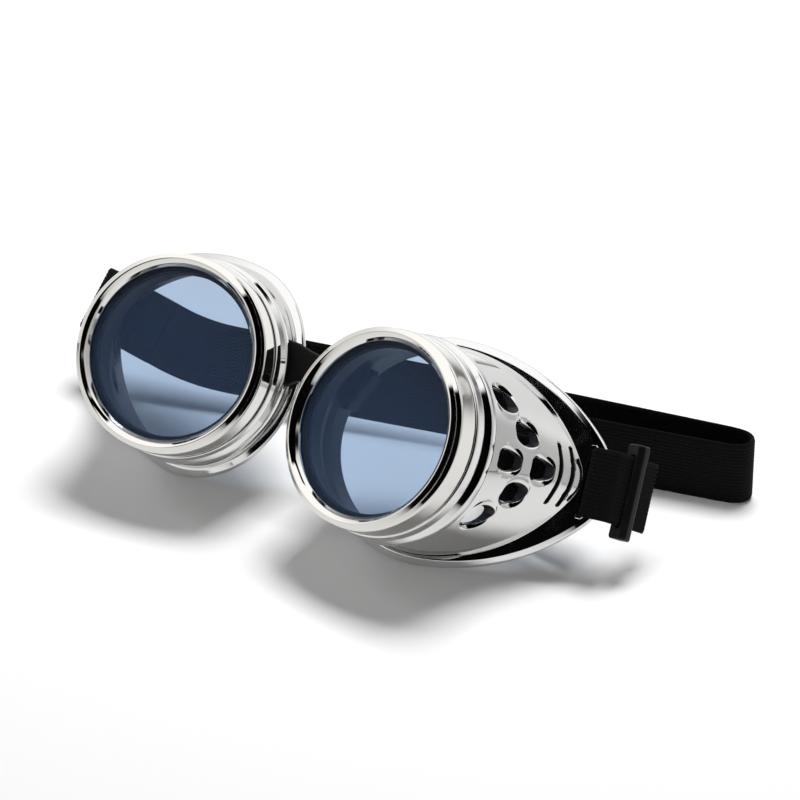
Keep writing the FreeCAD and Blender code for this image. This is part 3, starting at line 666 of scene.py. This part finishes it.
def strap_weave(tree, place, colours):
    """Black elastic: cross threads run over the ribs in turn, by the strap's own length and width."""
    weave = add_node(tree, "ShaderNodeUVMap", uv_map="weave").outputs["UV"]
    cross = add_node(tree, "ShaderNodeTexWave", {
        "Vector": weave, "Scale": 9.0, "Distortion": 0.6, "Detail": 1.0, "Detail Scale": 3.0},
        wave_type="BANDS", bands_direction="X").outputs["Fac"]
    fuzz = noise(tree, place, 2400.0, 3.0)
    return principled(tree, {
        "Base Color": mixed(tree, fuzz, opaque(colours.black, 0.55), opaque(colours.black, 1.5)),
        "Roughness": 0.85, "Specular IOR Level": 0.12, "Sheen Weight": 0.02, "Sheen Roughness": 0.4,
        "Normal": bump(tree, combine(tree, "ADD", cross, fuzz), 0.6, 0.12 * MM)})


def sewing_thread(tree, place, colours):
    """Black twisted thread: fine slanting bands."""
    twist = add_node(tree, "ShaderNodeTexWave", {"Vector": place, "Scale": 900.0, "Distortion": 1.0},
                     wave_type="BANDS", bands_direction="DIAGONAL").outputs["Fac"]
    return principled(tree, {
        "Base Color": mixed(tree, twist, opaque(colours.black), opaque(colours.black, 2.5)),
        "Roughness": 0.7, "Normal": bump(tree, twist, 0.5, 0.1 * MM)})


def floor_paper(tree, place, colours):
    """Pale paper with a faint fibre; rays that show it to the camera get a little even light from it."""
    tone = mixed(tree, noise(tree, place, 900.0, 4.0), opaque(colours.floor), opaque(colours.floor, 0.99))
    paper = add_node(tree, "ShaderNodeBsdfDiffuse", {"Color": tone})
    glow = add_node(tree, "ShaderNodeEmission", {"Color": (1, 1, 1, 1), "Strength": 1.0})
    path = tree.nodes.new("ShaderNodeLightPath").outputs
    seen = combine(tree, "MAXIMUM", path["Is Camera Ray"], path["Is Glossy Ray"])
    seen = combine(tree, "MAXIMUM", seen, path["Is Transmission Ray"])
    share = combine(tree, "MULTIPLY", seen, FLOOR_GLOW)
    return mixed_shader(tree, share, paper.outputs["BSDF"], glow.outputs["Emission"])


def length_setting(name, description, default):
    """Setting for one length."""
    return FloatProperty(name=name, description=description, default=default, unit="LENGTH")


def colour_setting(name, description, default):
    """Setting for one colour."""
    return FloatVectorProperty(name=name, description=description, default=default, subtype="COLOR")


class GoggleSizes(bpy.types.PropertyGroup):
    """Sizes of the pieces that are drawn finer than their solids."""
    strap_width: length_setting("Strap width", "Width of the elastic", 20.0 * MM)
    strap_thickness: length_setting("Strap thickness", "Thickness of the elastic over its ribs", 1.3 * MM)
    strap_ribs: IntProperty(name="Strap ribs", description="Lengthwise ribs across one face", default=17)
    rib_depth: length_setting("Rib depth", "How deep the grooves between ribs are", 0.16 * MM)


class GoggleFinishes(bpy.types.PropertyGroup):
    """Colours of the pieces."""
    plating: colour_setting("Plating", "Bright plating", (0.66, 0.665, 0.675))
    ring_plating: colour_setting("Ring plating", "Warmer plating of the rings", (0.68, 0.665, 0.63))
    plating_worn: colour_setting("Worn plating", "Plating where it has yellowed", (0.67, 0.66, 0.635))
    lens: colour_setting("Lens", "Lens tint", (0.42, 0.53, 0.67))
    lens_deep: colour_setting("Deep lens", "Lens tint where it is deepest", (0.39, 0.50, 0.65))
    lens_veil: colour_setting("Lens veil", "Blue that the lens scatters", (0.02, 0.25, 0.8))
    black: colour_setting("Black", "Rubber, plastic and elastic", (0.0035, 0.0035, 0.0042))
    floor: colour_setting("Floor", "Floor and backdrop", (0.93, 0.93, 0.93))


class GOGGLES_OT_eyecups(bpy.types.Operator):
    """Plated eyecups with neck thread, collar, vents, slits, strap slot and sloping lip"""
    bl_idname = "goggles.eyecups"
    bl_label = "Eyecups"

    def execute(self, context):
        for name, side in SIDES.items():
            points, faces, bare = eyecup_grid(side)
            make_piece(f"cup_shell_{name}", eye_to_part(points, side), faces,
                       finish("cup_plating", cup_plating), f"{name}_cup",
                       [f"eyecup_{name}"], np.stack((bare, bare), -1)[faces], "bare")
        return {"FINISHED"}


class GOGGLES_OT_lens_rings(bpy.types.Operator):
    """Screw rings with a domed face, a cove and a grip band"""
    bl_idname = "goggles.lens_rings"
    bl_label = "Lens rings"

    def execute(self, context):
        for name, side in SIDES.items():
            points, faces = lathe(RING_PROFILE, RING_COLUMNS)
            make_piece(f"screw_ring_{name}", eye_to_part(points, side), faces,
                       finish("ring_plating", ring_plating), f"{name}_ring",
                       [f"lens_ring_{name}"])
        return {"FINISHED"}


class GOGGLES_OT_lenses(bpy.types.Operator):
    """Flat tinted lenses and the black gaskets behind them"""
    bl_idname = "goggles.lenses"
    bl_label = "Lenses"

    def execute(self, context):
        for name, side in SIDES.items():
            points, faces = lathe(LENS_PROFILE, LENS_COLUMNS, closed=False)
            make_piece(f"lens_disc_{name}", eye_to_part(points, side), faces,
                       finish("lens_glass", tinted_lens), f"{name}_lens", [f"lens_{name}"])
            gasket = frame["nodes"][f"lens_gasket_{name}"]
            gasket.data.materials.clear()
            gasket.data.materials.append(finish("gasket_grain", bridge_rubber))
        return {"FINISHED"}


def bridge_to_part(points):
    """Points of the bridge's own frame, X across, Y up it and Z forwards, in the part's frame."""
    return points @ turn("X", 90 - LEAN).T + MIDDLE + turn("X", -LEAN) @ (0, BRIDGE_RISE, 0)


def sag_arc(x, span, sag):
    """Height of a circular arc over a span: the sag in the middle, zero at both ends and beyond."""
    radius = (span ** 2 + sag ** 2) / (2 * sag)
    inside = np.clip(np.abs(x), 0, span)
    return np.sqrt(radius ** 2 - inside ** 2) - (radius - sag)


def block_rows(half_x, half_y, half_z, radius):
    """Closed block with round edges: its section shrinks by a quarter circle at both ends of Y."""
    y = half_y * np.sin(np.linspace(-math.pi / 2, math.pi / 2, 25))
    over = np.clip((np.abs(y) - half_y + radius) / radius, 0, 1)
    inset = radius * (1 - np.sqrt(1 - over ** 2))
    inset[0] = inset[-1] = radius
    y = np.pad(y, 1, "edge")
    wide, deep = np.pad(half_x - inset, 1), np.pad(half_z - inset, 1)
    corners = np.stack([np.stack((across * wide, y, out * deep), -1)
                        for across, out in ((-1, -1), (1, -1), (1, 1), (-1, 1))])
    rows, _ = rounded_rows(corners, (radius,) * 4, (2,) * 4)
    return rows


class GOGGLES_OT_bridge(bpy.types.Operator):
    """Soft black bridge with an arched lower edge and a head inside each cup"""
    bl_idname = "goggles.bridge"
    bl_label = "Bridge"

    def execute(self, context):
        """Four edge lines, each a straight line plus an arc of its sag, are joined into a strip."""
        slant = math.radians(BRIDGE_SLANT)
        share = np.linspace(-1, 1, 81)
        lines = []
        for height, sag in BRIDGE_EDGES:
            x = share * (BRIDGE_AXIS - (BRIDGE_REACH - height * math.sin(slant)) / math.cos(slant))
            lines.append(np.stack((x, height + np.sign(sag) * sag_arc(x, BRIDGE_SPAN, abs(sag))), -1))
        corners = np.stack([raised(lines[line], z * MM) for line, z in ((0, -1), (1, -1), (1, 1), (0, 1))])
        caps = np.repeat(corners.mean(0)[None], 4, 0)
        corners = np.concatenate((caps[:, :1], corners, caps[:, -1:]), 1)
        rows, _ = rounded_rows(corners, (BRIDGE_ROUND,) * 4, (6, 2, 6, 2))
        grids = [rows]
        for side in SIDES.values():
            head = block_rows(*BRIDGE_HEAD) - (side * BRIDGE_REACH, 0, 0)
            grids.append(head @ turn("Z", -side * BRIDGE_SLANT).T + (side * BRIDGE_AXIS, 0, 0))
        points, faces = joined([(grid, grid_faces(grid, True, False)) for grid in grids])
        piece = make_piece("nose_strip", bridge_to_part(points), faces, finish("bridge_grain", bridge_rubber),
                           None, ["nose_bridge"])
        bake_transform(piece)
        return {"FINISHED"}


def lip_point(side, along, out, degrees=0.0, distance=0.0):
    """Point in the part's frame by either strap slot, or so far from there along a line that slants back."""
    angle = math.radians(degrees)
    place = np.array((along + math.cos(angle) * distance, 0, out - math.sin(angle) * distance))
    return eye_to_part(lip_to_eye(place), side)


def tail_point(distance):
    """Point on the strap's free end, so far out from the lip's edge."""
    return lip_point(1, EDGE_ALONG, FRONT_OUT, TAIL_ANGLE, distance)


def sewn_point(along, out, distance):
    """Point on the strap's sewn end behind the right lip."""
    return lip_point(-1, along, out, SEWN_ANGLE, distance)


def strap_path():
    """Places the strap runs through, how far each corner is rounded, and the way its width lies there."""
    left, right, up = eye_axes(1)[:, 1], eye_axes(-1)[:, 1], np.array((0, 0, 1.0))
    folded = lip_point(1, SLOT_ALONG, FOLD_OUT)

    def around(x, y, z):
        return np.array((MIDDLE[0] + x * MM, MIDDLE[1] + y * MM, z))

    route = (
        (tail_point(TAIL_LENGTH), 0, left),
        (tail_point(0), 2.5, left),
        (lip_point(1, SLOT_ALONG, FRONT_OUT), 1, left),
        (folded, 3.5, left),
        (around(43, 42, (folded[2] + STRAP_REST) / 2), 13, unit(left + up)),
        (around(43, 69.7, STRAP_REST), 13, up),
        (around(107.6, 86.9, STRAP_REST), 4.4, up),
        (around(105.4, 95.6, STRAP_REST), 4.4, up),
        (sewn_point(EDGE_ALONG, SEWN_OUTER, 34.0 * MM), 60, right),
        (sewn_point(EDGE_ALONG, SEWN_OUTER, 0), 1, right),
        (lip_point(-1, EDGE_ALONG, FRONT_OUT), 1, right),
        (lip_point(-1, SLOT_ALONG, FRONT_OUT), 1, right),
        (sewn_point(SLOT_ALONG, SEWN_INNER, 0), 1, right),
        (sewn_point(SLOT_ALONG, SEWN_INNER, SEWN_TAIL), 0, right),
    )
    places = np.array([place for place, _, _ in route])
    ahead = unit(np.diff(places, axis=0))
    bend = np.arccos(np.clip((ahead[:-1] * ahead[1:]).sum(-1), -1, 1))
    cut = np.array([radius * MM for _, radius, _ in route])
    cut[1:-1] *= np.tan(bend / 2)
    corners = np.concatenate((places, np.array([across for _, _, across in route])), -1)[:, None]
    rows, _ = rounded_rows(corners, cut, (24,) * len(route), arc=16, closed=False)
    return rows[:, 0]


def strap_line():
    """The strap's middle line and width direction at even spacing, relaxed where it hangs free.

    Away from both lips each point is the bell-weighted mean of its neighbours, so the folds roll over."""
    path = strap_path()
    step = np.linalg.norm(np.diff(path[:, :3], axis=0), axis=-1)
    along = np.concatenate(((0,), np.cumsum(step)))
    moved = np.concatenate(((True,), step > 1e-9))
    path, along = path[moved], along[moved]
    even = np.concatenate((np.arange(0, along[-1], STRAP_SPACING), along[-1:]))
    line = np.stack([np.interp(even, along, path[:, axis]) for axis in range(6)], -1)
    reach = int(BELL_REACH / STRAP_SPACING)
    bell = np.exp(-0.5 * (np.arange(-reach, reach + 1) * STRAP_SPACING / BELL_WIDTH) ** 2)
    padded = np.pad(line, ((reach, reach), (0, 0)), "edge")
    soft = np.stack([np.convolve(padded[:, axis], bell / bell.sum(), "valid") for axis in range(6)], -1)
    start = np.clip((even - FREE_FROM) / FREE_EASE, 0, 1)
    end = np.clip((along[-1] - FREE_TO - even) / FREE_EASE, 0, 1)
    share = np.minimum(start, end)[:, None]
    share = share * share * (3 - 2 * share)
    return line * (1 - share) + soft * share, even


class GOGGLES_OT_strap(bpy.types.Operator):
    """Ribbed elastic strap: through the left slot, folded back, round the head and sewn at the right slot"""
    bl_idname = "goggles.strap"
    bl_label = "Strap"

    def execute(self, context):
        """A flat band's section with rounded edges and cosine ribs is carried along the middle line."""
        sizes = context.scene.goggle_sizes
        line, along = strap_line()
        forward = unit(np.gradient(line[:, :3], axis=0))
        across = unit(line[:, 3:] - (line[:, 3:] * forward).sum(-1, keepdims=True) * forward)
        normal = np.cross(forward, across)
        half, thick = sizes.strap_width / 2, sizes.strap_thickness / 2
        width = np.linspace(-1, 1, sizes.strap_ribs * 6 + 1)
        groove = 0.5 - 0.5 * np.cos(2 * math.pi * (width * 0.5 + 0.5) * sizes.strap_ribs)
        edge_height = thick - sizes.rib_depth
        face = edge_height + sizes.rib_depth * groove
        turnover = np.linspace(math.pi / 2, -math.pi / 2, 7)[1:-1]
        flat = half - thick
        one_side = np.concatenate((
            np.stack((width * flat, face), -1),
            np.stack((flat + thick * np.cos(turnover), edge_height * np.sin(turnover)), -1)))
        section = np.concatenate((one_side, -one_side))
        rows = (line[:, None, :3] + across[:, None] * section[None, :, :1]
                + normal[:, None] * section[None, :, 1:])
        caps = np.repeat(rows.mean(1, keepdims=True), rows.shape[1], 1)
        rows = np.concatenate((caps[:1], rows, caps[-1:]))
        along = np.pad(along, 1, "edge")
        faces = grid_faces(rows, False, True)
        weave = np.stack(np.meshgrid(along, section[:, 0], indexing="ij"), -1) / sizes.strap_width
        piece = make_piece("elastic_strap", rows, faces, finish("strap_weave", strap_weave),
                           None, ["head_strap"], weave.reshape(-1, 2)[faces])
        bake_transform(piece)
        return {"FINISHED"}


def slider_outline(half_y, low_z, high_z, radius):
    """Box outline with round corners, in millimetres."""
    corners = np.array(((-half_y, low_z, 0), (half_y, low_z, 0), (half_y, high_z, 0), (-half_y, high_z, 0)))
    rows, _ = rounded_rows(corners[:, None], (radius,) * 4, (8,) * 4)
    return rows[:, 0, :2]


class GOGGLES_OT_slider(bpy.types.Operator):
    """Black strap slider with a ridge along its outer bar"""
    bl_idname = "goggles.slider"
    bl_label = "Slider"

    def execute(self, context):
        """A section of six corners runs round the slot; its outer corners stand back from the bar's ridge."""
        slot, side, ridge = (slider_outline(*outline) for outline in SLIDER_OUTLINES)
        rings = np.stack([np.concatenate((np.full((len(outline), 1), x), outline), -1) for x, outline in (
            (-2.5, slot), (-2.5, side), (-0.9, ridge), (0.9, ridge), (2.5, side), (2.5, slot))])
        rows, _ = rounded_rows(rings, (0.25, 0.5, 0.35, 0.35, 0.5, 0.25), (2,) * len(rings))
        start = tail_point(SLIDER_AT)
        along = unit(start - tail_point(0))
        up = eye_axes(1)[:, 1]
        axes = np.stack((along, up, np.cross(along, up)), -1)
        make_piece("slider_frame", rows * MM @ axes.T + start, grid_faces(rows, True, True),
                   finish("slider_grain", slider_plastic), "slider", ["strap_slider"])
        return {"FINISHED"}


class GOGGLES_OT_stitches(bpy.types.Operator):
    """Two rows of stitches that hold the strap's sewn end"""
    bl_idname = "goggles.stitches"
    bl_label = "Stitches"

    def execute(self, context):
        """Each stitch is a sphere drawn out along the strap's width and flattened onto its face."""
        low, high = (np.array(corner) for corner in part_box("strap_stitches"))
        start = sewn_point(SLOT_ALONG, SEWN_INNER, 0)
        along = unit(sewn_point(SLOT_ALONG, SEWN_INNER, SEWN_TAIL) - start)
        up = eye_axes(-1)[:, 1]
        out = np.cross(along, up)
        out = out * np.sign(out @ ((low + high) / 2 - start))
        row, number, around, over = np.meshgrid(
            STITCH_ROWS, STITCH_PLACES, np.linspace(0, 2 * math.pi, STITCH_GRID[0]),
            np.linspace(0, math.pi, STITCH_GRID[1]), indexing="ij")
        lie = row + STITCH_HALF[0] * np.sin(over) * np.cos(around)
        rise = context.scene.goggle_sizes.strap_thickness / 2 + STITCH_HALF[1] * np.sin(over) * np.sin(around)
        wide = number * STITCH_PITCH + STITCH_HALF[2] * np.cos(over)
        points = start + lie[..., None] * along + rise[..., None] * out + wide[..., None] * up
        points, faces = joined([(stitch, grid_faces(stitch, False, False))
                                for stitch in points.reshape(-1, *STITCH_GRID, 3)])
        make_piece("sewn_stitches", points, faces, finish("sewing_thread", sewing_thread),
                   "right_cup", ["strap_stitches"])
        return {"FINISHED"}


def standing(axes, place):
    """Matrix with the axes as its columns, at a place."""
    rows = zip(np.stack(axes, -1).tolist(), place)
    return Matrix([(*row, spot) for row, spot in rows] + [(0, 0, 0, 1)])


def add_floor():
    """Flat floor of 8 by 8 squares, just under the part."""
    span = np.linspace(-FLOOR_HALF, FLOOR_HALF, 9)
    grid = np.stack(np.meshgrid(span, span, -FLOOR_DROP, indexing="ij"), -1)
    faces = grid_faces(grid, False, False).reshape(-1, 4)[:, ::-1]
    mesh = bpy.data.meshes.new("floor")
    mesh.from_pydata(grid.reshape(-1, 3).tolist(), [], faces.tolist())
    mesh.materials.append(finish("floor_paper", floor_paper))
    floor = add_object("floor", mesh)


def add_studio():
    """White room: dim for diffuse light, with dark sides and a bright ceiling where a surface mirrors it."""
    world = bpy.data.worlds.new("studio")
    bpy.context.scene.world = world
    world.use_nodes = True
    tree = world.node_tree
    tree.nodes.clear()
    direction = tree.nodes.new("ShaderNodeTexCoord").outputs["Generated"]
    parts = add_node(tree, "ShaderNodeSeparateXYZ", {"Vector": direction}).outputs
    shade = ramp(tree, parts["Z"], *CEILING)
    for toward, full, edge, level in DARK_SIDES:
        facing = add_node(tree, "ShaderNodeVectorMath", {0: direction, 1: toward}, operation="DOT_PRODUCT")
        side = ramp(tree, facing.outputs["Value"], edge, full, 1.0, level)
        shade = combine(tree, "MULTIPLY", shade, side)
    band = 1.0
    for axis, start, end, low, high in DARK_BAND:
        band = combine(tree, "MULTIPLY", band, ramp(tree, parts[axis], start, end, low, high))
    shade = combine(tree, "MULTIPLY", shade, combine(tree, "SUBTRACT", 1.0, band))
    path = tree.nodes.new("ShaderNodeLightPath").outputs
    mirrored = combine(tree, "MAXIMUM", path["Is Glossy Ray"], path["Is Transmission Ray"])
    room = mixed(tree, mirrored, ROOM_LIGHT, shade, "FLOAT")
    white = combine(tree, "MAXIMUM", room, path["Is Camera Ray"])
    light = add_node(tree, "ShaderNodeBackground", {"Color": (1, 1, 1, 1), "Strength": white})
    output = tree.nodes.new("ShaderNodeOutputWorld")
    tree.links.new(light.outputs["Background"], output.inputs["Surface"])


def add_softboxes():
    """Soft square lamps that are neither seen nor mirrored."""
    for name, (place, aim, size, power) in SOFTBOXES.items():
        lamp = bpy.data.lights.new(name, "AREA")
        lamp.size = size
        lamp.energy = power
        holder = add_object(name, lamp)
        back = unit(np.array(place) - np.array(aim))
        side = unit(np.cross((0, 1, 0), back))
        holder.matrix_world = standing((side, np.cross(back, side), back), place)
        holder.visible_glossy = holder.visible_camera = False


def add_camera():
    """Camera turned about the eyes' middle, moved sideways and a little down to frame the whole."""
    azimuth, elevation = (math.radians(angle) for angle in CAMERA_TURN)
    right = np.array((math.cos(azimuth), math.sin(azimuth), 0))
    back = np.array((math.cos(elevation) * math.sin(azimuth), -math.cos(elevation) * math.cos(azimuth),
                     math.sin(elevation)))
    axes = right, np.cross(back, right), back
    lens = bpy.data.cameras.new("camera")
    lens.lens, lens.sensor_width = CAMERA_FOCAL, CAMERA_SENSOR
    lens.clip_start, lens.clip_end = 0.05, 20.0
    camera = add_object("camera", lens)
    camera.matrix_world = standing(axes, MIDDLE + np.stack(axes, -1) @ CAMERA_PLACE)
    bpy.context.scene.camera = camera


class GOGGLES_OT_stage(bpy.types.Operator):
    """Pale floor, soft light and the camera"""
    bl_idname = "goggles.stage"
    bl_label = "Stage"

    def execute(self, context):
        context.scene.view_settings.view_transform = "Standard"
        add_floor()
        add_studio()
        add_softboxes()
        add_camera()
        return {"FINISHED"}


PIECE_OPERATORS = ("eyecups", "lens_rings", "lenses", "bridge", "strap", "slider", "stitches", "stage")


class GOGGLES_PT_sidebar(bpy.types.Panel):
    """Builds the goggles piece by piece"""
    bl_idname = "GOGGLES_PT_sidebar"
    bl_label = "Goggles"
    bl_space_type = "VIEW_3D"
    bl_region_type = "UI"
    bl_category = "Goggles"

    def draw(self, context):
        for group in (context.scene.goggle_sizes, context.scene.goggle_finishes):
            for name in group.__annotations__:
                self.layout.prop(group, name)
        for name in PIECE_OPERATORS:
            self.layout.operator(f"goggles.{name}")


CLASSES = (GoggleSizes, GoggleFinishes, GOGGLES_OT_eyecups, GOGGLES_OT_lens_rings, GOGGLES_OT_lenses,
           GOGGLES_OT_bridge, GOGGLES_OT_strap, GOGGLES_OT_slider, GOGGLES_OT_stitches, GOGGLES_OT_stage,
           GOGGLES_PT_sidebar)


def register():
    """Adds the classes and the scene's settings."""
    for kind in CLASSES:
        bpy.utils.register_class(kind)
    bpy.types.Scene.goggle_sizes = PointerProperty(type=GoggleSizes)
    bpy.types.Scene.goggle_finishes = PointerProperty(type=GoggleFinishes)


def unregister():
    """Takes them away again."""
    del bpy.types.Scene.goggle_finishes
    del bpy.types.Scene.goggle_sizes
    for kind in reversed(CLASSES):
        bpy.utils.unregister_class(kind)


def main():
    """Registers the add-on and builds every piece."""
    register()
    for name in PIECE_OPERATORS:
        getattr(bpy.ops.goggles, name)()


if __name__ == "__main__":
    main()
